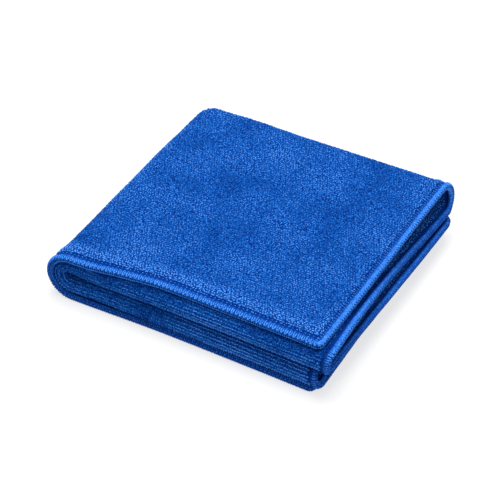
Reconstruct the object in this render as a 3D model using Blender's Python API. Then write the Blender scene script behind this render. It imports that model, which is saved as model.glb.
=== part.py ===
"""A microfibre cloth, folded in thirds like a Z and then in half, lying on the plane Z = 0.

X runs from the half fold, on the left, to the open right-hand edges. Y runs from the front, where a hem
and two creases show, to the back. Everything is in metres, and the origin is the middle of the footprint.
"""

import math

import bmesh
import bpy

THICK = 0.0036  # the ground cloth with its pile on both faces
DEPTH = 0.193  # from the front creases to the back loops
WIDTH = 0.210  # from the half fold to the right-hand edges
FREE_BACK = 0.1845  # Y of the hem of the inner layer
HEM_FOLD = 0.0004  # Y of the outer layer's hem where it goes round the half fold
CORNER_INSET = 0.0018  # how far a sewn corner is rounded back
FRONT_SWEEP = 0.0035  # how far the front leans forward at the open side
SAG = 0.0012  # how far the top dips between its edges
STACK_TOP = 0.040  # the height at which the dip is counted in full

# The three layers of the Z, once above the half fold's middle and once below it. Each pair is a layer's
# value at the front and at the back: the height of its middle surface in the half fold and in the open
# part, X of the axis that the half fold bends it round, X of its right-hand edge, and how far from the
# axis it takes to reach the open height. bow is how far that edge bulges halfway along the layer, and hem
# is Y of the outer layer's hem along the open part.
UPPER = {
    "outer": {
        "fold": (0.0333, 0.0395), "open": (0.0372, 0.0416),
        "axis": (0.0161, 0.0218), "edge": (0.2016, 0.2022), "opening": (0.075, 0.040), "bow": 0.0,
    },
    "middle": {
        "fold": (0.0292, 0.0305), "open": (0.0331, 0.0229),
        "axis": (0.0161, 0.0194), "edge": (0.2095, 0.2065), "opening": (0.075, 0.075), "bow": -0.0030,
    },
    "inner": {
        "fold": (0.0235, 0.0248), "open": (0.0205, 0.0158),
        "axis": (0.0143, 0.0176), "edge": (0.2080, 0.2085), "opening": (0.030, 0.075), "bow": 0.0003,
    },
    "hem": 0.0044,
}
LOWER = {
    "outer": {
        "fold": (0.0018, 0.0018), "open": (0.0018, 0.0018),
        "axis": (0.0161, 0.0218), "edge": (0.1980, 0.1940), "opening": (0.075, 0.075), "bow": 0.0,
    },
    "middle": {
        "fold": (0.0065, 0.0075), "open": (0.0059, 0.0060),
        "axis": (0.0161, 0.0194), "edge": (0.2030, 0.1980), "opening": (0.075, 0.075), "bow": 0.0,
    },
    "inner": {
        "fold": (0.0137, 0.0148), "open": (0.0164, 0.0100),
        "axis": (0.0143, 0.0176), "edge": (0.1985, 0.1990), "opening": (0.030, 0.075), "bow": 0.0,
    },
    "hem": 0.0018,
}

# How finely each stretch of the cloth is divided, along the Z and across the half fold.
LAYER_STEPS = 9
LOOP_STEPS = 6
RUN_STEPS = 13
FOLD_STEPS = 8
DENSER_AT_FOLD = 1.4  # steps of a run get shorter towards the half fold

BLUE = (0.012, 0.090, 0.420, 1.0)
ROUGHNESS = 0.9


def mix(start, end, share):
    return start + (end - start) * share


def ease(share):
    """A share from 0 to 1 that starts and ends gently."""
    share = min(1.0, max(0.0, share))
    return share * share * (3 - 2 * share)


def hump(share):
    """A share from 0 to 1 that is 1 halfway and 0 at both ends."""
    return math.sin(math.pi * min(1.0, max(0.0, share)))


def height(layer, x, y):
    """The height of a layer's middle surface."""
    back = ease(y / DEPTH)
    opened = ease((x - mix(*layer["axis"], back)) / mix(*layer["opening"], back))
    return mix(mix(*layer["fold"], back), mix(*layer["open"], back), opened)


def half_turn(upper, lower, x, y, outwards, share):
    """A point on the half circle that joins two layers, bulging out to Y = y."""
    above = height(upper, x, y)
    below = height(lower, x, y)
    radius = (above - below) / 2
    middle = y - outwards * (abs(radius) + THICK / 2)
    angle = math.pi * share
    return middle + outwards * abs(radius) * math.sin(angle), below + radius * (1 + math.cos(angle))


def section(layers, x, row):
    """Y and Z of the middle surface, a given number of rows along the Z from the outer hem."""
    outer, middle, inner = layers["outer"], layers["middle"], layers["inner"]
    back_start = half_turn(outer, middle, x, DEPTH, 1, 0)[0]
    front_start = half_turn(middle, inner, x, 0.0, -1, 0)[0]
    if row <= LAYER_STEPS:
        opened = ease((x - outer["axis"][0]) / outer["opening"][0])
        y = mix(mix(HEM_FOLD, layers["hem"], opened), back_start, row / LAYER_STEPS)
        return y, height(outer, x, y * DEPTH / back_start)
    row -= LAYER_STEPS
    if row <= LOOP_STEPS:
        return half_turn(outer, middle, x, DEPTH, 1, row / LOOP_STEPS)
    row -= LOOP_STEPS
    if row <= LAYER_STEPS:
        y = mix(back_start, front_start, row / LAYER_STEPS)
        return y, height(middle, x, DEPTH * (y - front_start) / (back_start - front_start))
    row -= LAYER_STEPS
    if row <= LOOP_STEPS:
        return half_turn(middle, inner, x, 0.0, -1, row / LOOP_STEPS)
    row -= LOOP_STEPS
    y = mix(front_start, FREE_BACK, row / LAYER_STEPS)
    return y, height(inner, x, DEPTH * (y - front_start) / (FREE_BACK - front_start))


def along_the_z(layers, value, row):
    """One of the pairs of front and back values of the three layers, read at a row."""
    outer, middle, inner = (layers[layer][value] for layer in ("outer", "middle", "inner"))
    stops = (
        (outer[0], 0),
        (outer[1], LAYER_STEPS),
        (middle[1], LOOP_STEPS),
        (middle[0], LAYER_STEPS),
        (inner[0], LOOP_STEPS),
        (inner[1], LAYER_STEPS),
    )
    for (start, _), (end, steps) in zip(stops, stops[1:]):
        if row <= steps:
            return mix(start, end, row / steps)
        row -= steps
    return stops[-1][0]


def open_edge(layers, row):
    """X of the right-hand edge at a row."""
    x = along_the_z(layers, "edge", row)
    for layer in ("outer", "middle", "inner"):
        x += layers[layer]["bow"] * hump(row / LAYER_STEPS)
        row -= LAYER_STEPS + LOOP_STEPS
    return x


def open_run(layers, axis, share, row):
    """A point of the open part, where share is 0 at the half fold and 1 at the right-hand edge."""
    x = mix(axis, open_edge(layers, row), share**DENSER_AT_FOLD)
    return (x, *section(layers, x, row))


def fold_turn(axis, share, row):
    """A point of the half fold, where share is 0 at the top and 1 at the bottom."""
    upper_y, upper_z = section(UPPER, axis, row)
    lower_y, lower_z = section(LOWER, axis, row)
    radius = (upper_z - lower_z) / 2
    angle = math.pi * share
    x = axis - radius * math.sin(angle)
    return x, mix(upper_y, lower_y, share), lower_z + radius * (1 + math.cos(angle))


def middle_surface(column, row):
    """A point of the cloth's middle surface: columns run over the half fold, rows along the Z."""
    axis = along_the_z(UPPER, "axis", row)
    if column <= RUN_STEPS:
        return open_run(UPPER, axis, 1 - column / RUN_STEPS, row)
    column -= RUN_STEPS
    if column <= FOLD_STEPS:
        return fold_turn(axis, column / FOLD_STEPS, row)
    return open_run(LOWER, axis, (column - FOLD_STEPS) / RUN_STEPS, row)


def uneven(x, y, z):
    """The same point once the pile has been pushed a little out of true, with its underside left flat."""
    across = x / WIDTH
    along = y / DEPTH
    dip = SAG * hump(across) * hump(along) * (z - THICK / 2) / STACK_TOP
    return x, y - FRONT_SWEEP * across * abs(across) * (1 - along), z - dip


def cloth_mesh():
    """The cloth's middle surface as a grid that is folded point by point."""
    columns = 2 * RUN_STEPS + FOLD_STEPS
    rows = 3 * LAYER_STEPS + 2 * LOOP_STEPS
    shape = bmesh.new()
    bmesh.ops.create_grid(shape, x_segments=columns, y_segments=rows, size=0.5)
    for vertex in shape.verts:
        column = round((vertex.co.x + 0.5) * columns)
        row = round((vertex.co.y + 0.5) * rows)
        vertex.co = uneven(*middle_surface(column, row))
        if column in (0, columns) and row in (0, rows):
            vertex.co.x -= CORNER_INSET
            vertex.co.y += CORNER_INSET if row == 0 else -CORNER_INSET
    across = [vertex.co.x for vertex in shape.verts]
    along = [vertex.co.y for vertex in shape.verts]
    centre_x = (min(across) - THICK / 2 + max(across)) / 2
    centre_y = (min(along) + max(along)) / 2
    bmesh.ops.translate(shape, verts=shape.verts, vec=(-centre_x, -centre_y, 0.0))
    mesh = bpy.data.meshes.new("cloth")
    shape.to_mesh(mesh)
    shape.free()
    return mesh


def cloth_material():
    material = bpy.data.materials.new("blue_microfibre")
    material.use_nodes = True
    surface = material.node_tree.nodes["Principled BSDF"]
    surface.inputs["Base Color"].default_value = BLUE
    surface.inputs["Roughness"].default_value = ROUGHNESS
    surface.inputs["Metallic"].default_value = 0.0
    return material


def build():
    for item in list(bpy.data.objects):
        bpy.data.objects.remove(item, do_unlink=True)
    mesh = cloth_mesh()
    mesh.materials.append(cloth_material())
    mesh.shade_smooth()
    cloth = bpy.data.objects.new("cloth", mesh)
    bpy.context.scene.collection.objects.link(cloth)
    thickness = cloth.modifiers.new("thickness", "SOLIDIFY")
    thickness.thickness = THICK
    thickness.offset = 0.0
    thickness.use_even_offset = True
    return cloth


build()
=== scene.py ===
# A blue microfibre cloth with an overlocked hem, folded in thirds and then in half.
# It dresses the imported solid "cloth": a fine sheet on the same folds, its pile and its sewing.

import math

import bmesh
import bpy
import numpy as np
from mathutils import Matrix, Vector, noise


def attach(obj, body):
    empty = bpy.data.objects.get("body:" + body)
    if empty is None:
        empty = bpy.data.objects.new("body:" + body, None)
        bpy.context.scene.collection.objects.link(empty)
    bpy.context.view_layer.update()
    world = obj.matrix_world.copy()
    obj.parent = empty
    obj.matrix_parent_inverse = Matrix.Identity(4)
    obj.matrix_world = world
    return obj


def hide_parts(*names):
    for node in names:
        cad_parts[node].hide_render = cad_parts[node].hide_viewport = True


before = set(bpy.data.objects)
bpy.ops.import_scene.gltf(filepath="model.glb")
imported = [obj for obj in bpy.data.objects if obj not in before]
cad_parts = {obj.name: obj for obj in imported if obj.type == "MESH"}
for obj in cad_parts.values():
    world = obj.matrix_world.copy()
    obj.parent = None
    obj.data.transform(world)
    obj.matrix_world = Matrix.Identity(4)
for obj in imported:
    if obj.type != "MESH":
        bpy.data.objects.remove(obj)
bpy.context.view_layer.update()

# The folds, as the solid has them. X runs from the half fold to the open edges, Y from front to back.
# Each layer's pairs are its values at the front and at the back: the height of its middle in the half
# fold and in the open part, X of the axis it is bent round, X of its right-hand edge, and how far from
# the axis it takes to reach the open height. bow is how far that edge bulges halfway along the layer.
foldPlan = {
    "depth": 0.193,  # from the front creases to the back loops
    "width": 0.210,  # from the half fold to the right-hand edges
    "halfThick": 0.0018,
    "freeBack": 0.1845,  # Y of the inner layer's hem
    "hemAtFold": 0.0004,  # Y of the outer layer's hem in the half fold
    "frontSweep": 0.0035,  # how far the front leans forward at the open side
    "sag": 0.0012,  # how far the top dips between its edges
    "stackTop": 0.040,
    "runSteps": 70,  # how finely the fold is worked out before it is evened out
    "turnSteps": 36,
    "layerSteps": 44,
    "loopSteps": 24,
}
upperHalf = {
    "hem": 0.0044,
    "outer": {
        "fold": (0.0333, 0.0395), "open": (0.0372, 0.0416),
        "axis": (0.0161, 0.0218), "edge": (0.2016, 0.2022), "opening": (0.075, 0.040), "bow": 0.0,
    },
    "middle": {
        "fold": (0.0292, 0.0305), "open": (0.0331, 0.0229),
        "axis": (0.0161, 0.0194), "edge": (0.2095, 0.2065), "opening": (0.075, 0.075), "bow": -0.0030,
    },
    "inner": {
        "fold": (0.0235, 0.0248), "open": (0.0205, 0.0158),
        "axis": (0.0143, 0.0176), "edge": (0.2080, 0.2085), "opening": (0.030, 0.075), "bow": 0.0003,
    },
}
lowerHalf = {
    "hem": 0.0018,
    "outer": {
        "fold": (0.0018, 0.0018), "open": (0.0018, 0.0018),
        "axis": (0.0161, 0.0218), "edge": (0.1980, 0.1940), "opening": (0.075, 0.075), "bow": 0.0,
    },
    "middle": {
        "fold": (0.0065, 0.0075), "open": (0.0059, 0.0060),
        "axis": (0.0161, 0.0194), "edge": (0.2030, 0.1980), "opening": (0.075, 0.075), "bow": 0.0,
    },
    "inner": {
        "fold": (0.0137, 0.0148), "open": (0.0164, 0.0100),
        "axis": (0.0143, 0.0176), "edge": (0.1985, 0.1990), "opening": (0.030, 0.075), "bow": 0.0,
    },
}


def mix(start, end, share):
    return start + (end - start) * share


def ease(share):
    share = min(1.0, max(0.0, share))
    return share * share * (3 - 2 * share)


def easeAll(shares):  # the same for a whole array
    shares = np.clip(shares, 0, 1)
    return shares * shares * (3 - 2 * shares)


def hump(share):  # 1 halfway and 0 at both ends
    return math.sin(math.pi * min(1.0, max(0.0, share)))


def layerHeight(layer, x, y):
    back = ease(y / foldPlan["depth"])
    opened = ease((x - mix(*layer["axis"], back)) / mix(*layer["opening"], back))
    return mix(mix(*layer["fold"], back), mix(*layer["open"], back), opened)


# The half circle that joins two layers, as far out as y.
def halfTurn(above, below, x, y, outwards, share):
    top = layerHeight(above, x, y)
    bottom = layerHeight(below, x, y)
    radius = (top - bottom) / 2
    middle = y - outwards * (abs(radius) + foldPlan["halfThick"])
    angle = math.pi * share
    return middle + outwards * abs(radius) * math.sin(angle), bottom + radius * (1 + math.cos(angle))


# row counts the stretches of the Z: 0 to 1 is the outer layer from its hem, 1 to 2 the back loop,
# 2 to 3 the middle layer, 3 to 4 the front crease, and 4 to 5 the inner layer.
def zSection(half, x, row):
    outer, middle, inner = half["outer"], half["middle"], half["inner"]
    depth = foldPlan["depth"]
    backStart = halfTurn(outer, middle, x, depth, 1, 0)[0]
    frontStart = halfTurn(middle, inner, x, 0.0, -1, 0)[0]
    stretch = min(4, int(row))
    share = row - stretch
    if stretch == 0:
        opened = ease((x - outer["axis"][0]) / outer["opening"][0])
        y = mix(mix(foldPlan["hemAtFold"], half["hem"], opened), backStart, share)
        return y, layerHeight(outer, x, y * depth / backStart)
    if stretch == 1:
        return halfTurn(outer, middle, x, depth, 1, share)
    if stretch == 2:
        y = mix(backStart, frontStart, share)
        return y, layerHeight(middle, x, depth * (y - frontStart) / (backStart - frontStart))
    if stretch == 3:
        return halfTurn(middle, inner, x, 0.0, -1, share)
    freeBack = foldPlan["freeBack"]
    y = mix(frontStart, freeBack, share)
    return y, layerHeight(inner, x, depth * (y - frontStart) / (freeBack - frontStart))


def alongTheZ(half, value, row):
    outer, middle, inner = (half[layer][value] for layer in ("outer", "middle", "inner"))
    stops = (outer[0], outer[1], middle[1], middle[0], inner[0], inner[1])
    stretch = min(4, int(row))
    return mix(stops[stretch], stops[stretch + 1], row - stretch)


def openEdge(half, row):
    x = alongTheZ(half, "edge", row)
    for layer in ("outer", "middle", "inner"):
        x += half[layer]["bow"] * hump(row)
        row -= 2
    return x


# column counts the stretches over the half fold: 0 to 1 is the upper part from its right-hand edge,
# 1 to 2 the fold, and 2 to 3 the lower part.
def foldedPoint(column, row):
    axis = alongTheZ(upperHalf, "axis", row)
    if column <= 1:
        x = mix(openEdge(upperHalf, row), axis, column)
        y, z = zSection(upperHalf, x, row)
    elif column >= 2:
        x = mix(axis, openEdge(lowerHalf, row), column - 2)
        y, z = zSection(lowerHalf, x, row)
    else:
        upperY, upperZ = zSection(upperHalf, axis, row)
        lowerY, lowerZ = zSection(lowerHalf, axis, row)
        radius = (upperZ - lowerZ) / 2
        angle = math.pi * (column - 1)
        x = axis - radius * math.sin(angle)
        y = mix(upperY, lowerY, column - 1)
        z = lowerZ + radius * (1 + math.cos(angle))
    across = x / foldPlan["width"]
    along = y / foldPlan["depth"]
    dip = foldPlan["sag"] * hump(across) * hump(along)
    dip = dip * (z - foldPlan["halfThick"]) / foldPlan["stackTop"]
    return x, y - foldPlan["frontSweep"] * across * abs(across) * (1 - along), z - dip


def evenOut(points, count):  # spaces the second index of a grid of points evenly along each line
    even = np.empty((points.shape[0], count, 3))
    for line, spread in zip(points, even):
        steps = np.linalg.norm(np.diff(line, axis=0), axis=1)
        reached = np.concatenate(([0], np.cumsum(steps)))
        wanted = np.linspace(0, reached[-1], count)
        for axis in range(3):
            spread[:, axis] = np.interp(wanted, reached, line[:, axis])
    return even


def stepsOver(parts):  # 0, 1, 2 and so on, with the given number of steps between each two
    runs = [np.linspace(start, start + 1, count, endpoint=False) for start, count in enumerate(parts)]
    return np.concatenate([*runs, [len(parts)]])


sheetPlan = {
    "flat": (0.410, 0.580),  # the cut cloth, across the half fold and along the Z
    "spacing": 0.0012,  # between the points that everything else is laid on
    "relief": 0.0006,  # soft troughs and ridges that a hand leaves on the top
    "reliefSize": 0.042,
    "gather": 0.00025,  # the sewing's slight pull on the edge
    "gatherSize": 0.014,
    "hemReach": 0.012,
    "topReach": (0.235, 0.178),  # how far the free top reaches over the half fold and along the Z
    "topFade": (0.030, 0.020),
    "reliefInset": 0.020,  # how far from the edges the relief is full
    "floorClear": (0.004, 0.006),  # the height above which the gather starts, and how soon it is full
    "hemWidth": 0.0036,  # the sewn rim, up to the groove
    "sideGroove": 0.55,  # width of the sewn groove at the open edges, as a share of the others'
    "frontCorner": 0.0045,  # radius of the outer layer's corners
    "backCorner": 0.0080,  # radius of the inner layer's corners
}


def foldSheet():
    columns = stepsOver((foldPlan["runSteps"], foldPlan["turnSteps"], foldPlan["runSteps"]))
    layer, loop = foldPlan["layerSteps"], foldPlan["loopSteps"]
    rows = stepsOver((layer, loop, layer, loop, layer))
    points = np.array([[foldedPoint(column, row) for row in rows] for column in columns])
    width, length = sheetPlan["flat"]
    points = evenOut(points, round(length / sheetPlan["spacing"]) + 1)
    points = evenOut(points.swapaxes(0, 1), round(width / sheetPlan["spacing"]) + 1).swapaxes(0, 1)
    points[..., 0] -= (points[..., 0].min() - foldPlan["halfThick"] + points[..., 0].max()) / 2
    points[..., 1] -= (points[..., 1].min() + points[..., 1].max()) / 2
    return points


def outwardOf(points):  # unit directions away from the outer layer's upper face
    across, along = np.gradient(points, axis=(0, 1))
    outward = np.cross(along, across)
    return outward / np.linalg.norm(outward, axis=-1, keepdims=True)


def edgeDistance(a, b):  # with the narrower groove at the open edges counted as wide as the others
    width, length = sheetPlan["flat"]
    sideways = np.minimum(a, width - a)
    stretch = 1 / sheetPlan["sideGroove"] - 1
    sideways = sideways + np.maximum(sideways - sheetPlan["hemWidth"], 0) * stretch
    return np.minimum(sideways, np.minimum(b, length - b))


def inwardFrom(edge, sideways):  # the other way round, where sideways is 1 at the open edges
    return edge - np.maximum(edge - sheetPlan["hemWidth"], 0) * (1 - sheetPlan["sideGroove"]) * sideways


def softRelief(points):
    width, length = sheetPlan["flat"]
    a, b = np.meshgrid(
        np.linspace(0, width, points.shape[0]), np.linspace(0, length, points.shape[1]), indexing="ij"
    )
    bumps = np.empty(a.shape)
    gathers = np.empty(a.shape)
    for index in np.ndindex(a.shape):
        spot = Vector((a[index], b[index], 0.0))
        bumps[index] = noise.noise(spot / sheetPlan["reliefSize"] + Vector((3.1, 7.7, 0.4)))
        gathers[index] = noise.noise(spot / sheetPlan["gatherSize"] + Vector((9.3, 1.2, 5.8)))
    (reachA, reachB), (fadeA, fadeB) = sheetPlan["topReach"], sheetPlan["topFade"]
    onTop = easeAll((reachA - a) / fadeA) * easeAll((reachB - b) / fadeB)
    inside = easeAll(edgeDistance(a, b) / sheetPlan["reliefInset"])
    nearHem = 1 - easeAll(edgeDistance(a, b) / sheetPlan["hemReach"])
    height, fade = sheetPlan["floorClear"]
    clear = easeAll((points[..., 2] - height) / fade)
    relief = sheetPlan["relief"] * bumps * onTop * inside
    rise = relief + sheetPlan["gather"] * gathers * nearHem * clear
    return points + outwardOf(points) * rise[..., None]


cloth = {"points": softRelief(foldSheet())}
cloth["outward"] = outwardOf(cloth["points"])
acrossWay, alongWay = np.gradient(cloth["points"], axis=(0, 1))
cloth["across"] = acrossWay / np.linalg.norm(acrossWay, axis=-1, keepdims=True)
cloth["along"] = alongWay / np.linalg.norm(alongWay, axis=-1, keepdims=True)
print("sheet folded:", cloth["points"].shape)


def clothAt(what, a, b):  # points, outward, across or along at places of the flat cloth, in metres
    grid = cloth[what]
    width, length = sheetPlan["flat"]
    i = np.clip(a / width, 0, 1) * (grid.shape[0] - 1)
    j = np.clip(b / length, 0, 1) * (grid.shape[1] - 1)
    low = np.minimum(i.astype(int), grid.shape[0] - 2)
    left = np.minimum(j.astype(int), grid.shape[1] - 2)
    i = (i - low)[..., None]
    j = (j - left)[..., None]
    near = grid[low, left] * (1 - j) + grid[low, left + 1] * j
    far = grid[low + 1, left] * (1 - j) + grid[low + 1, left + 1] * j
    return near * (1 - i) + far * i


# The cloth in section: a rounded hem, a sewn groove beside it, and the ground under the pile.
clothPlan = {
    "hemRise": 0.0021,  # half the hem's thickness
    "hemRound": 0.0020,
    "grooveWidth": 0.0016,
    "grooveDepth": 0.0011,
    "groundRise": 0.0016,  # half the thickness under the pile
    "pileFade": 0.003,  # how soon the hem gives way to the ground
    "shadePastGroove": 1.5,  # how far past the groove the ground is shaded, in groove widths
    "bulge": 0.0009,  # the pile stands up beside the sewing, on the outer faces
    "bulgeAt": 0.0115,
    "bulgeReach": 0.0055,
    "freeReach": (0.245, 0.200),  # how far the free face goes over the half fold and along the Z
    "freeFade": 0.02,
    "edgeLines": (0.0, 0.0002, 0.0006, 0.0012, 0.0024, 0.0033, 0.0040, 0.0048, 0.0056, 0.0066, 0.0080),
    "lineSpacing": 0.0028,
}


def halfThickness(edge):
    rounded = np.clip(1 - edge / clothPlan["hemRound"], 0, 1)
    hem = clothPlan["hemRise"] * np.sqrt(1 - rounded**2)
    fromGroove = (edge - sheetPlan["hemWidth"] - clothPlan["grooveWidth"]) / clothPlan["grooveWidth"]
    groove = clothPlan["grooveDepth"] * np.exp(-(fromGroove**2))
    pile = easeAll((edge - sheetPlan["hemWidth"]) / clothPlan["pileFade"])
    return hem - groove + pile * (clothPlan["groundRise"] - clothPlan["hemRise"])


def bulgeAt(a, b, edge):  # only where the outer layer's face is free
    reachA, reachB = clothPlan["freeReach"]
    free = easeAll((reachA - a) / clothPlan["freeFade"]) * easeAll((reachB - b) / clothPlan["freeFade"])
    pile = easeAll((edge - sheetPlan["hemWidth"]) / clothPlan["pileFade"])
    swell = np.exp(-(((edge - clothPlan["bulgeAt"]) / clothPlan["bulgeReach"]) ** 2))
    return free * pile * clothPlan["bulge"] * swell


def gridLines(size, sideways):  # close together in the hem and even between
    near = inwardFrom(np.array(clothPlan["edgeLines"]), sideways)
    count = round((size - 2 * near[-1]) / clothPlan["lineSpacing"])
    between = np.linspace(near[-1], size - near[-1], count + 1)[1:-1]
    return np.concatenate((near, between, size - near[::-1]))


def roundedCorners(a, b):  # bends the square corners of the flat grid into round ones
    width, length = sheetPlan["flat"]
    a = a.copy()
    b = b.copy()
    for cornerA in (0, width):
        for cornerB in (0, length):
            radius = sheetPlan["backCorner"] if cornerB else sheetPlan["frontCorner"]
            towardsA = 1 if cornerA == 0 else -1
            towardsB = 1 if cornerB == 0 else -1
            offA = radius - (a - cornerA) * towardsA
            offB = radius - (b - cornerB) * towardsB
            near = (offA > 0) & (offB > 0)
            scale = np.maximum(offA, offB)[near] / np.hypot(offA, offB)[near]
            a[near] = cornerA + towardsA * (radius - offA[near] * scale)
            b[near] = cornerB + towardsB * (radius - offB[near] * scale)
    return a, b


def onFloor(points, lift=0.0):  # nothing goes below the surface that the cloth lies on
    points[..., 2] = np.maximum(points[..., 2], lift)
    return points


def makeSheet():
    linesA = gridLines(sheetPlan["flat"][0], 1)
    linesB = gridLines(sheetPlan["flat"][1], 0)
    shape = bmesh.new()
    bmesh.ops.create_grid(shape, x_segments=len(linesA) - 1, y_segments=len(linesB) - 1, size=0.5)
    column = np.array([round((vertex.co.x + 0.5) * (len(linesA) - 1)) for vertex in shape.verts])
    row = np.array([round((vertex.co.y + 0.5) * (len(linesB) - 1)) for vertex in shape.verts])
    edge = edgeDistance(linesA[column], linesB[row])
    a, b = roundedCorners(linesA[column], linesB[row])
    middle = clothAt("points", a, b)
    outward = clothAt("outward", a, b)
    rise = halfThickness(edge)
    upper = onFloor(middle + outward * (rise + bulgeAt(a, b, edge))[:, None])
    lower = onFloor(middle - outward * rise[:, None])

    # Painted shade: the ground is made darker under the sewing, in its groove and a little past it.
    paintedShadeUnderSewing = shape.verts.layers.float.new("paintedShadeUnderSewing")
    grooves = (edge - sheetPlan["hemWidth"]) / clothPlan["grooveWidth"]
    shaded = 1 - easeAll(grooves - clothPlan["shadePastGroove"])
    for vertex in shape.verts:
        vertex[paintedShadeUnderSewing] = shaded[vertex.index]
    layout = shape.loops.layers.uv.new("flatCloth")  # the flat cloth, in metres
    for face in shape.faces:
        for loop in face.loops:
            loop[layout].uv = (a[loop.vert.index], b[loop.vert.index])
    copy = bmesh.ops.duplicate(shape, geom=shape.verts[:] + shape.edges[:] + shape.faces[:])
    copied = [item for item in copy["geom"] if isinstance(item, bmesh.types.BMVert)]
    shape.verts.ensure_lookup_table()
    for index, place in enumerate(upper):
        shape.verts[index].co = place
    for vertex, place in zip(copied, lower):
        vertex.co = place
    rim = [vertex for vertex in shape.verts if vertex.is_boundary]
    bmesh.ops.remove_doubles(shape, verts=rim, dist=0.000002)
    bmesh.ops.recalc_face_normals(shape, faces=shape.faces)

    mesh = bpy.data.meshes.new("foldedCloth")
    shape.to_mesh(mesh)
    shape.free()
    mesh.shade_smooth()
    return addPiece("foldedCloth", mesh)


def addPiece(name, data):
    piece = bpy.data.objects.new(name, data)
    bpy.context.scene.collection.objects.link(piece)
    return piece


clothSheet = makeSheet()
print("cloth made:", len(clothSheet.data.polygons), "faces")


# Pile: short loops of yarn in the rows of the knit, brushed every way on the faces and straight in the
# creases.
pilePlan = {
    "across": 0.00185,
    "along": 0.00185,
    "clearOfHem": (0.0064, 0.0080),  # the pile starts between these distances from the edge
    "length": 0.00125,  # half sizes of one loop
    "breadth": 0.00050,
    "height": 0.00062,
    "droop": 0.60,
    "sunk": 0.00016,
    "jitter": 0.00055,
    "rowJitter": 0.35,  # its share of that in straight rows
    "floorGap": 0.0001,
    "sizes": (0.75, 1.15),
    "turn": {"brushed": math.pi / 2, "combed": 0.18},  # how far a loop may be turned from its row
    "lean": {"brushed": 0.45, "combed": 0.15},
    "stretch": {"brushed": 1.0, "combed": 1.2},
    "shades": {"brushed": (0.0, 1.0), "combed": (0.25, 0.75)},
    "paler": {"front": 2.00, "sides": 0.35},  # painted light: how much paler the pile beside the sewing is made, where it stands up and catches the light
    "frontReach": (0.018, 0.030),  # which of it counts as the front's, measured from the front hem
    "underHem": (0.381, 0.395),  # where along the Z the pile comes out from under the upper hem
    "underHemShade": 1.1,  # painted shadow: how much darker the pile is made there, in the upper hem's shadow
    "palerInside": 0.9,  # painted light: how much paler the pile is made between the open edges, to lift the shade that falls there
    "seed": 11,
    "topReach": (0.26, 0.181),  # how far the top's pile goes over the half fold and along the Z
    "topAbove": 0.0075,  # and how low it goes
    "backLoops": (0.181, 0.216),  # along the Z
    "frontCreases": (0.372, 0.424),
    "besideEdges": 0.017,  # how deep the pile goes from the open edges on the outside of the folds
    "insideEdges": (0.022, 0.014),  # and on the inside, from the open edges and from every edge
}


# Places on the flat cloth where wanted(a, b, edge, place) holds.
def pileSpots(side, wanted, rowsStraight):
    chance = np.random.default_rng(pilePlan["seed"] + (side > 0) + 2 * rowsStraight)
    width, length = sheetPlan["flat"]
    a = np.arange(pilePlan["across"] / 2, width, pilePlan["across"])
    b = np.arange(pilePlan["along"] / 2, length, pilePlan["along"])
    a, b = np.meshgrid(a, b, indexing="ij")
    a[:, 1::2] += pilePlan["across"] / 2
    a, b = a.ravel(), b.ravel()
    jitter = pilePlan["jitter"] * (pilePlan["rowJitter"] if rowsStraight else 1)
    a = a + chance.uniform(-jitter, jitter, a.size)
    b = b + chance.uniform(-jitter, jitter, b.size)
    edge = edgeDistance(a, b)
    clear = chance.uniform(*pilePlan["clearOfHem"], edge.size)
    keep = wanted(a, b, edge, clothAt("points", a, b)) & (edge > clear)
    return a[keep], b[keep], side, rowsStraight, chance


def oneLoop():
    shape = bmesh.new()
    bmesh.ops.create_uvsphere(shape, u_segments=4, v_segments=3, radius=1.0)
    for vertex in shape.verts:
        vertex.co.z -= pilePlan["droop"] * vertex.co.x**2
    shape.verts.index_update()
    corners = np.array([vertex.co for vertex in shape.verts])
    faces = [[vertex.index for vertex in face.verts] for face in shape.faces]
    shape.free()
    return corners, faces


# Painted light: how strongly the pile beside the sewing is made paler, most at the front hem.
def catchingLight(b):
    near, far = pilePlan["frontReach"]
    sides = easeAll((b - near) / (far - near))
    return mix(pilePlan["paler"]["front"], pilePlan["paler"]["sides"], sides)


# Painted shadow: how much darker the upper half's pile is made where it comes out from under the hem.
def underTheHem(a, b):
    near, far = pilePlan["underHem"]
    upper = (a < sheetPlan["flat"][0] / 2) & (b > sheetPlan["flat"][1] / 2)
    return pilePlan["underHemShade"] * upper * (1 - easeAll((b - near) / (far - near)))


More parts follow.
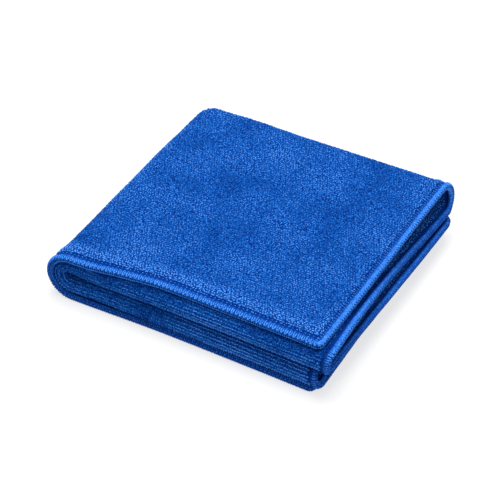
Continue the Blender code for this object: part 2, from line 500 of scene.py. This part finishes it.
def layPile(name, groups, paler=0.0):
    corners, faces = oneLoop()
    places = []
    shades = []
    tips = []
    for a, b, side, rowsStraight, chance in groups:
        count = a.size
        outward = side * clothAt("outward", a, b)
        manner = "combed" if rowsStraight else "brushed"
        turn = pilePlan["turn"][manner] * chance.uniform(-1, 1, count)
        across = clothAt("across", a, b)
        way = across * np.cos(turn)[:, None] + np.cross(outward, across) * np.sin(turn)[:, None]
        lean = pilePlan["lean"][manner] * chance.uniform(-1, 1, count)[:, None]
        long = way * np.cos(lean) + outward * np.sin(lean)
        up = outward * np.cos(lean) - way * np.sin(lean)
        wide = np.cross(up, long)
        size = chance.uniform(*pilePlan["sizes"], count)[:, None, None]
        edge = edgeDistance(a, b)
        rise = halfThickness(edge) - pilePlan["sunk"]
        if side > 0:
            rise = rise + bulgeAt(a, b, edge)
        middle = clothAt("points", a, b) + outward * rise[:, None]
        shape = corners[None, :, :] * size
        spread = (
            shape[:, :, 0:1] * pilePlan["length"] * pilePlan["stretch"][manner] * long[:, None, :]
            + shape[:, :, 1:2] * pilePlan["breadth"] * wide[:, None, :]
            + shape[:, :, 2:3] * pilePlan["height"] * up[:, None, :]
        )
        places.append(onFloor((middle[:, None, :] + spread).reshape(-1, 3), pilePlan["floorGap"]))
        # A loop's tone is random, and painted light and shade go into it too: paler between the open
        # edges and beside the sewing, darker under the hem.
        shade = chance.uniform(*pilePlan["shades"][manner], count) + paler
        shade = shade + catchingLight(b) * bulgeAt(a, b, edge) / clothPlan["bulge"]
        shade = shade - underTheHem(a, b)
        shades.append(np.repeat(shade, len(corners)))
        # loopTip runs from a loop's foot (0) to its top (1); the material paints the loops darker
        # towards their feet, as painted shade between them.
        tips.append(np.tile((corners[:, 2] + 1) / 2, count))
    places = np.concatenate(places)
    copies = len(places) // len(corners)
    starts = range(0, len(places), len(corners))
    allFaces = [[corner + start for corner in face] for start in starts for face in faces]
    mesh = bpy.data.meshes.new(name)
    mesh.from_pydata(places, [], allFaces)
    for label, values in (("loopToneAndPaintedLight", shades), ("loopTip", tips)):
        mesh.attributes.new(label, "FLOAT", "POINT").data.foreach_set("value", np.concatenate(values))
    mesh.shade_smooth()
    print(name + ":", copies, "loops of pile")
    return addPiece(name, mesh)


def onTopFace(a, b, edge, place):
    reachA, reachB = pilePlan["topReach"]
    return (b < reachB) & (place[:, 2] > pilePlan["topAbove"]) & (a < reachA)


def onBackLoops(a, b, edge, place):
    start, end = pilePlan["backLoops"]
    return (b >= start) & (b < end)


def inFrontCreases(a, b, edge, place):
    start, end = pilePlan["frontCreases"]
    return (b > start) & (b < end)


def besideOpenEdges(a, b, edge, place):
    near = np.minimum(a, sheetPlan["flat"][0] - a) < pilePlan["besideEdges"]
    return near & ~onTopFace(a, b, edge, place) & ~onBackLoops(a, b, edge, place)


def insideOpenEdges(a, b, edge, place):
    fromSides, fromAll = pilePlan["insideEdges"]
    near = (np.minimum(a, sheetPlan["flat"][0] - a) < fromSides) | (edge < fromAll)
    return near & ~inFrontCreases(a, b, edge, place)


edgePile = [pileSpots(1, besideOpenEdges, False), pileSpots(-1, insideOpenEdges, False)]
pilePieces = [
    layPile("pileTop", [pileSpots(1, onTopFace, False)]),
    layPile("pileFolds", [pileSpots(1, onBackLoops, False), pileSpots(-1, inFrontCreases, True)]),
    layPile("pileEdges", edgePile, pilePlan["palerInside"]),
]


# Sewing: an upper and a lower looper thread that cross the hem to and fro, closely enough to cover it,
# a bead where they meet over its edge, and two rows of needle thread that hold them along the groove.
sewPlan = {
    "pitch": 0.00293,  # one stitch
    "sidePitch": 0.81,  # its share of that at the open edges
    "crossings": 2,  # of the looper thread in one stitch, to the edge and back
    "paired": 0.84,  # how far the thread's way out and back lie together
    "gather": 0.12,  # how far a stitch's crossings are drawn together at the edge
    "uneven": 0.035,  # how far a crossing strays from its place, as a share of a stitch
    "strays": 4,  # in one stitch
    "seed": 5,
    "overPoints": 24,  # points drawn in one stitch, on the faces that show and on the others
    "underPoints": 16,
    "needlePoints": 6,
    "beadPoints": 6,
    "looper": 0.00046,  # radii of the yarns
    "bead": 0.00060,
    "needle": 0.00032,
    "needleRows": {"needleThread": 0.0010, "needleThreadInner": 0.0031},  # beyond the hem's width
    "lift": 0.00012,  # how far a yarn's middle lies above the hem
    "wrap": math.radians(80),  # how far a looper thread goes round the edge
    "pairedFrom": 0.3,  # these five are shares of the way from the needle line to the edge
    "gatherFrom": 0.62,
    "gatherFade": 0.2,
    "dipUntil": 0.2,
    "buriedUntil": 0.45,
    "needleDip": 0.0009,
    "looperDip": 0.0006,
    "beadUp": 0.0014,  # how far the bead lies above the middle of the edge
    "beadLumps": 0.25,  # how far its radius swells and shrinks in one stitch
    "shadedBelow": (0.024, 0.036),  # heights between which the sewing falls into shade
    "shade": 0.34,  # how much darker it is there
}


def walkBorder():  # places along the flat cloth's edge and the way inwards, and the stitches up to each
    width, length = sheetPlan["flat"]
    front, back = sheetPlan["frontCorner"], sheetPlan["backCorner"]
    corners = (
        (width, 0, front, -90),
        (width, length, back, 0),
        (0, length, back, 90),
        (0, 0, front, 180),
    )
    spots = []
    for cornerA, cornerB, radius, start in corners:
        centreA = cornerA - radius if cornerA else radius
        centreB = cornerB - radius if cornerB else radius
        for degrees in range(start, start + 91, 6):
            inA, inB = -math.cos(math.radians(degrees)), -math.sin(math.radians(degrees))
            spots.append((centreA - inA * radius, centreB - inB * radius, inA, inB))
    spots.append(spots[0])
    spots = np.array(spots)
    steps = np.hypot(*np.diff(spots[:, :2], axis=0).T)
    along = abs(np.diff(spots[:, 1])) / steps
    stitches = steps / sewPlan["pitch"] / (1 - (1 - sewPlan["sidePitch"]) * along)
    return spots, np.concatenate(([0], np.cumsum(stitches)))


borderSpots, borderStitches = walkBorder()
stitchCount = round(borderStitches[-1])


def borderTrail(stitches):
    wanted = stitches / stitchCount % 1 * borderStitches[-1]
    return [np.interp(wanted, borderStitches, borderSpots[:, index]) for index in range(4)]


def besideHem(trail, edge, rise):  # the place a given way in from the edge and above the cloth's middle
    a, b, inA, inB = trail
    within = np.maximum(edge, 0)
    inwards = clothAt("across", a, b) * inA[:, None] + clothAt("along", a, b) * inB[:, None]
    within = inwardFrom(within, abs(inA))
    surface = clothAt("points", a + inA * within, b + inB * within)
    outward = clothAt("outward", a, b)
    return surface + inwards * np.minimum(edge, 0)[:, None] + outward * rise[:, None]


def looperPath(side, pointsPerStitch):
    stitch = np.arange(stitchCount * pointsPerStitch) / pointsPerStitch
    crossing = stitch * sewPlan["crossings"]
    toEdge = np.abs((crossing + 0.5) % 1 - 0.5) * 2  # from the needle line
    paired = sewPlan["paired"] * easeAll(toEdge / sewPlan["pairedFrom"])
    gathered = sewPlan["gather"] * easeAll((toEdge - sewPlan["gatherFrom"]) / sewPlan["gatherFade"])
    drawn = paired * (0.5 - crossing % 1) / sewPlan["crossings"]
    drawn = drawn + gathered * (0.5 - stitch % 1)
    strays = sewPlan["strays"]
    astray = np.random.default_rng(sewPlan["seed"]).normal(0, sewPlan["uneven"], stitchCount * strays)
    drawn = drawn + np.interp(stitch * strays, np.arange(astray.size), astray)
    turning = clothPlan["hemRound"]
    flatRun = sheetPlan["hemWidth"] - turning
    turned = (turning + sewPlan["lift"]) * sewPlan["wrap"]
    reached = toEdge * (flatRun + turned)
    angle = np.clip((reached - flatRun) / turned, 0, 1) * sewPlan["wrap"]
    overEdge = (turning + sewPlan["lift"]) * np.sin(angle)
    edge = sheetPlan["hemWidth"] - np.minimum(reached, flatRun) - overEdge
    rise = (clothPlan["hemRise"] + sewPlan["lift"]) * np.cos(angle)
    rise = rise - sewPlan["looperDip"] * (1 - easeAll(toEdge / sewPlan["dipUntil"]))
    # painted shade: the looper thread is darker near the needle line, where it dives into the cloth
    buriedAndShaded = 1 - easeAll(toEdge / sewPlan["buriedUntil"])
    return besideHem(borderTrail(stitch + drawn), edge, side * rise), buriedAndShaded


def needlePath(row):
    stitch = np.arange(stitchCount * sewPlan["needlePoints"]) / sewPlan["needlePoints"]
    edge = np.full(stitch.size, sheetPlan["hemWidth"] + sewPlan["needleRows"][row])
    # how far the needle thread dips into the groove, and how much shade is painted on it there
    buriedAndShaded = 0.5 + 0.5 * np.cos(2 * math.pi * stitch)
    rise = halfThickness(edge) + sewPlan["needle"] - sewPlan["needleDip"] * buriedAndShaded
    return besideHem(borderTrail(stitch), edge, rise), buriedAndShaded


def beadPath():
    stitch = np.arange(stitchCount * sewPlan["beadPoints"]) / sewPlan["beadPoints"]
    trail = borderTrail(stitch)
    upwards = clothAt("outward", trail[0], trail[1])[:, 2]
    # where the bead is thinner, between its lumps, and painted darker
    buriedAndShaded = 0.5 - 0.5 * np.cos(2 * math.pi * stitch)
    return besideHem(trail, np.zeros(stitch.size), sewPlan["beadUp"] * upwards), buriedAndShaded


# A yarn along a path, with how deep each of its points is buried in the sewing, which also paints shade
# on it.
def layYarn(name, way, radius, lumps=0.0):
    path, buriedAndShaded = way
    onFloor(path, radius)
    curve = bpy.data.curves.new(name, "CURVE")
    curve.dimensions = "3D"
    curve.bevel_depth = radius
    curve.bevel_resolution = 0
    spline = curve.splines.new("POLY")
    spline.points.add(len(path) - 1)
    spline.points.foreach_set("co", np.column_stack((path, np.ones(len(path)))).ravel())
    spline.points.foreach_set("radius", 1 + lumps * (1 - 2 * buriedAndShaded))
    spline.use_cyclic_u = True
    drawn = addPiece(name + "Line", curve)
    mesh = bpy.data.meshes.new_from_object(drawn.evaluated_get(bpy.context.evaluated_depsgraph_get()))
    bpy.data.objects.remove(drawn, do_unlink=True)
    mesh.name = name
    # Painted shade: the yarn is made darker where it is buried and where it lies low in the stack.
    low, high = sewPlan["shadedBelow"]
    dark = buriedAndShaded + sewPlan["shade"] * (1 - easeAll((path[:, 2] - low) / (high - low)))
    around = len(mesh.vertices) // len(path)
    mesh.attributes.new("buriedAndShaded", "FLOAT", "POINT").data.foreach_set("value", np.repeat(dark, around))
    mesh.shade_smooth()
    print(name + ":", len(mesh.polygons), "faces")
    return addPiece(name, mesh)


sewing = [
    layYarn("looperOver", looperPath(1, sewPlan["overPoints"]), sewPlan["looper"]),
    layYarn("looperUnder", looperPath(-1, sewPlan["underPoints"]), sewPlan["looper"]),
    layYarn("edgeBead", beadPath(), sewPlan["bead"], sewPlan["beadLumps"]),
    *[layYarn(row, needlePath(row), sewPlan["needle"]) for row in sewPlan["needleRows"]],
]

# Colours are linear. deep, mid, bright and pale are what the pile mixes; pale is reached mostly where
# light is painted beside the sewing.
finishPlan = {
    "deep": (0.0000, 0.0120, 0.125),
    "mid": (0.0105, 0.1320, 0.515),
    "bright": (0.0640, 0.2350, 0.700),
    "pale": (0.0850, 0.3000, 0.830),
    # painted shade: the ground under the sewing and the buried or low-lying yarn darken towards this
    # colour
    "groove": (0.0010, 0.0330, 0.215),
    "threadDark": (0.015, 0.120, 0.540),
    "threadBright": (0.080, 0.345, 0.950),
    "pileRamp": {"deep": 0.05, "mid": 0.30, "bright": 0.57, "pale": 1.0},
    # painted shade: tip darkens the loops towards their feet; shade carries their random tone with the
    # painted light and shade from the pile
    "pileLevel": {"base": -1.28, "shade": 0.30, "tip": 0.42, "mottle": 1.08, "grain": 1.20},
    "groundRamp": {"groove": 0.0, "deep": 0.4, "mid": 0.8},
    "threadRamp": {"groove": 0.0, "threadDark": 0.30, "threadBright": 0.65},
    "paintedShadeUnderSewing": -0.60,  # painted shade: how much darker the ground under the sewing and in its groove, and the yarn where it is buried and where it lies low in the stack, are made
    "roughness": 0.88,
    "threadRoughness": 0.60,
    # The depth and strength of the fibres below the size of a loop.
    "fibreBump": {"pile": (0.0003, 0.6), "ground": (0.0006, 0.8), "thread": (0.0002, 0.5)},
    "sheen": 0.04,
    "sheenRoughness": 0.45,
    "sheenTint": (0.05, 0.30, 1.0),
    "specular": 0.02,
    "mottleSize": 26.0,  # noise scales, in repeats a metre
    "grainSize": 1050.0,
    "fibreSize": 2600.0,
}


def colour(name):
    return (*finishPlan[name], 1.0)


def startMaterial(name, roughness):
    material = bpy.data.materials.new(name)
    material.use_nodes = True
    nodes = material.node_tree.nodes
    surface = nodes["Principled BSDF"]
    surface.inputs["Roughness"].default_value = roughness
    surface.inputs["Specular IOR Level"].default_value = finishPlan["specular"]
    surface.inputs["Sheen Weight"].default_value = finishPlan["sheen"]
    surface.inputs["Sheen Roughness"].default_value = finishPlan["sheenRoughness"]
    surface.inputs["Sheen Tint"].default_value = colour("sheenTint")
    return material, nodes, material.node_tree.links, surface


def addNoise(nodes, links, scale, detail):
    place = nodes.new("ShaderNodeTexCoord")
    pattern = nodes.new("ShaderNodeTexNoise")
    pattern.inputs["Scale"].default_value = scale
    pattern.inputs["Detail"].default_value = detail
    links.new(place.outputs["Object"], pattern.inputs["Vector"])
    return pattern.outputs["Fac"]


def addMath(nodes, links, operation, first, second, third=None):
    step = nodes.new("ShaderNodeMath")
    step.operation = operation
    for socket, value in zip(step.inputs, (first, second, third)):
        if isinstance(value, (int, float)):
            socket.default_value = value
        elif value is not None:
            links.new(value, socket)
    return step.outputs[0]


def addRamp(nodes, links, factor, stops):
    ramp = nodes.new("ShaderNodeValToRGB")
    while len(ramp.color_ramp.elements) < len(stops):
        ramp.color_ramp.elements.new(0.5)
    for element, (name, place) in zip(ramp.color_ramp.elements, stops.items()):
        element.position = place
        element.color = colour(name)
    links.new(factor, ramp.inputs[0])
    return ramp.outputs[0]


def addBump(nodes, links, surface, height, distance, strength):
    bump = nodes.new("ShaderNodeBump")
    bump.inputs["Strength"].default_value = strength
    bump.inputs["Distance"].default_value = distance
    links.new(height, bump.inputs["Height"])
    links.new(bump.outputs[0], surface.inputs["Normal"])


def pileMaterial():
    material, nodes, links, surface = startMaterial("pileBlue", finishPlan["roughness"])
    shade = nodes.new("ShaderNodeAttribute")
    shade.attribute_name = "loopToneAndPaintedLight"
    tip = nodes.new("ShaderNodeAttribute")
    tip.attribute_name = "loopTip"
    mottle = addNoise(nodes, links, finishPlan["mottleSize"], 3.0)
    grain = addNoise(nodes, links, finishPlan["grainSize"], 2.0)
    parts = {"shade": shade.outputs["Fac"], "tip": tip.outputs["Fac"], "mottle": mottle, "grain": grain}
    level = finishPlan["pileLevel"]["base"]
    for name, part in parts.items():
        level = addMath(nodes, links, "MULTIPLY_ADD", part, finishPlan["pileLevel"][name], level)
    links.new(addRamp(nodes, links, level, finishPlan["pileRamp"]), surface.inputs["Base Color"])
    fibres = addNoise(nodes, links, finishPlan["fibreSize"], 2.0)
    addBump(nodes, links, surface, fibres, *finishPlan["fibreBump"]["pile"])
    return material


def groundMaterial():
    material, nodes, links, surface = startMaterial("groundBlue", finishPlan["roughness"])
    # Painted shade: the ground darkens towards the groove colour under the sewing.
    shade = nodes.new("ShaderNodeAttribute")
    shade.attribute_name = "paintedShadeUnderSewing"
    grain = addNoise(nodes, links, finishPlan["grainSize"], 2.0)
    darker = finishPlan["paintedShadeUnderSewing"]
    level = addMath(nodes, links, "MULTIPLY_ADD", shade.outputs["Fac"], darker, grain)
    links.new(addRamp(nodes, links, level, finishPlan["groundRamp"]), surface.inputs["Base Color"])
    fibres = addNoise(nodes, links, finishPlan["fibreSize"] / 2, 2.0)
    addBump(nodes, links, surface, fibres, *finishPlan["fibreBump"]["ground"])
    return material


def threadMaterial():
    material, nodes, links, surface = startMaterial("threadBlue", finishPlan["threadRoughness"])
    # Painted shade: the yarn darkens towards the groove colour where it is buried and where it lies low
    # in the stack.
    buriedAndShaded = nodes.new("ShaderNodeAttribute")
    buriedAndShaded.attribute_name = "buriedAndShaded"
    grain = addNoise(nodes, links, finishPlan["grainSize"], 2.0)
    darker = finishPlan["paintedShadeUnderSewing"]
    level = addMath(nodes, links, "MULTIPLY_ADD", buriedAndShaded.outputs["Fac"], darker, grain)
    links.new(addRamp(nodes, links, level, finishPlan["threadRamp"]), surface.inputs["Base Color"])
    fibres = addNoise(nodes, links, finishPlan["fibreSize"], 2.0)
    addBump(nodes, links, surface, fibres, *finishPlan["fibreBump"]["thread"])
    return material


clothSheet.data.materials.append(groundMaterial())
pileBlue = pileMaterial()
for piece in pilePieces:
    piece.data.materials.append(pileBlue)
threadBlue = threadMaterial()
for piece in sewing:
    piece.data.materials.append(threadBlue)

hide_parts("cloth")
for piece in (clothSheet, *pilePieces, *sewing):
    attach(piece, "root")
print("cloth dressed")

# Studio: a floor that is lit itself, a white room, and soft light from above.
studioPlan = {
    "floorSize": 8.0,
    "floorColour": (0.25, 0.25, 0.25, 1.0),
    "floorRoughness": 0.9,
    "floorGlow": 0.69,  # the floor is a lit panel, so that shadows on it stay pale
    "roomLight": 0.78,
    "keyPower": 27.0,
    "keySize": 0.9,
    "keyPlace": (-0.06, 0.16, 1.47),
    "lookAt": (0.00075, -0.0098, 0.018),
    "azimuth": 29.3,
    "elevation": 38.95,
    "distance": 1.278,
    "lens": 137.7,
}


def makeFloor():
    shape = bmesh.new()
    bmesh.ops.create_grid(shape, x_segments=1, y_segments=1, size=studioPlan["floorSize"] / 2)
    mesh = bpy.data.meshes.new("floor")
    shape.to_mesh(mesh)
    shape.free()
    material = bpy.data.materials.new("paleFloor")
    material.use_nodes = True
    surface = material.node_tree.nodes["Principled BSDF"]
    surface.inputs["Base Color"].default_value = studioPlan["floorColour"]
    surface.inputs["Roughness"].default_value = studioPlan["floorRoughness"]
    surface.inputs["Specular IOR Level"].default_value = 0.0
    surface.inputs["Emission Color"].default_value = (1.0, 1.0, 1.0, 1.0)
    surface.inputs["Emission Strength"].default_value = studioPlan["floorGlow"]
    mesh.materials.append(material)
    floor = addPiece("floor", mesh)


def addSoftLight(name, power, size, place):
    lamp = bpy.data.lights.new(name, "AREA")
    lamp.energy = power
    lamp.size = size
    light = bpy.data.objects.new(name, lamp)
    light.location = place
    light.rotation_mode = "QUATERNION"
    light.rotation_quaternion = (-Vector(place)).to_track_quat("-Z", "Y")
    bpy.context.scene.collection.objects.link(light)


def lightRoom():
    world = bpy.data.worlds.new("whiteRoom")
    world.use_nodes = True
    background = world.node_tree.nodes["Background"]
    background.inputs["Color"].default_value = (1.0, 1.0, 1.0, 1.0)
    background.inputs["Strength"].default_value = studioPlan["roomLight"]
    bpy.context.scene.world = world
    bpy.context.scene.view_settings.view_transform = "Standard"
    addSoftLight("keyLight", studioPlan["keyPower"], studioPlan["keySize"], studioPlan["keyPlace"])


def placeCamera():
    turn = math.radians(studioPlan["azimuth"])
    tilt = math.radians(studioPlan["elevation"])
    back = Vector((math.sin(turn) * math.cos(tilt), -math.cos(turn) * math.cos(tilt), math.sin(tilt)))
    data = bpy.data.cameras.new("camera")
    data.lens = studioPlan["lens"]
    camera = bpy.data.objects.new("camera", data)
    camera.location = Vector(studioPlan["lookAt"]) + back * studioPlan["distance"]
    camera.rotation_mode = "QUATERNION"
    camera.rotation_quaternion = (-back).to_track_quat("-Z", "Y")
    bpy.context.scene.collection.objects.link(camera)
    bpy.context.scene.camera = camera


makeFloor()
lightRoom()
placeCamera()
print("studio ready")
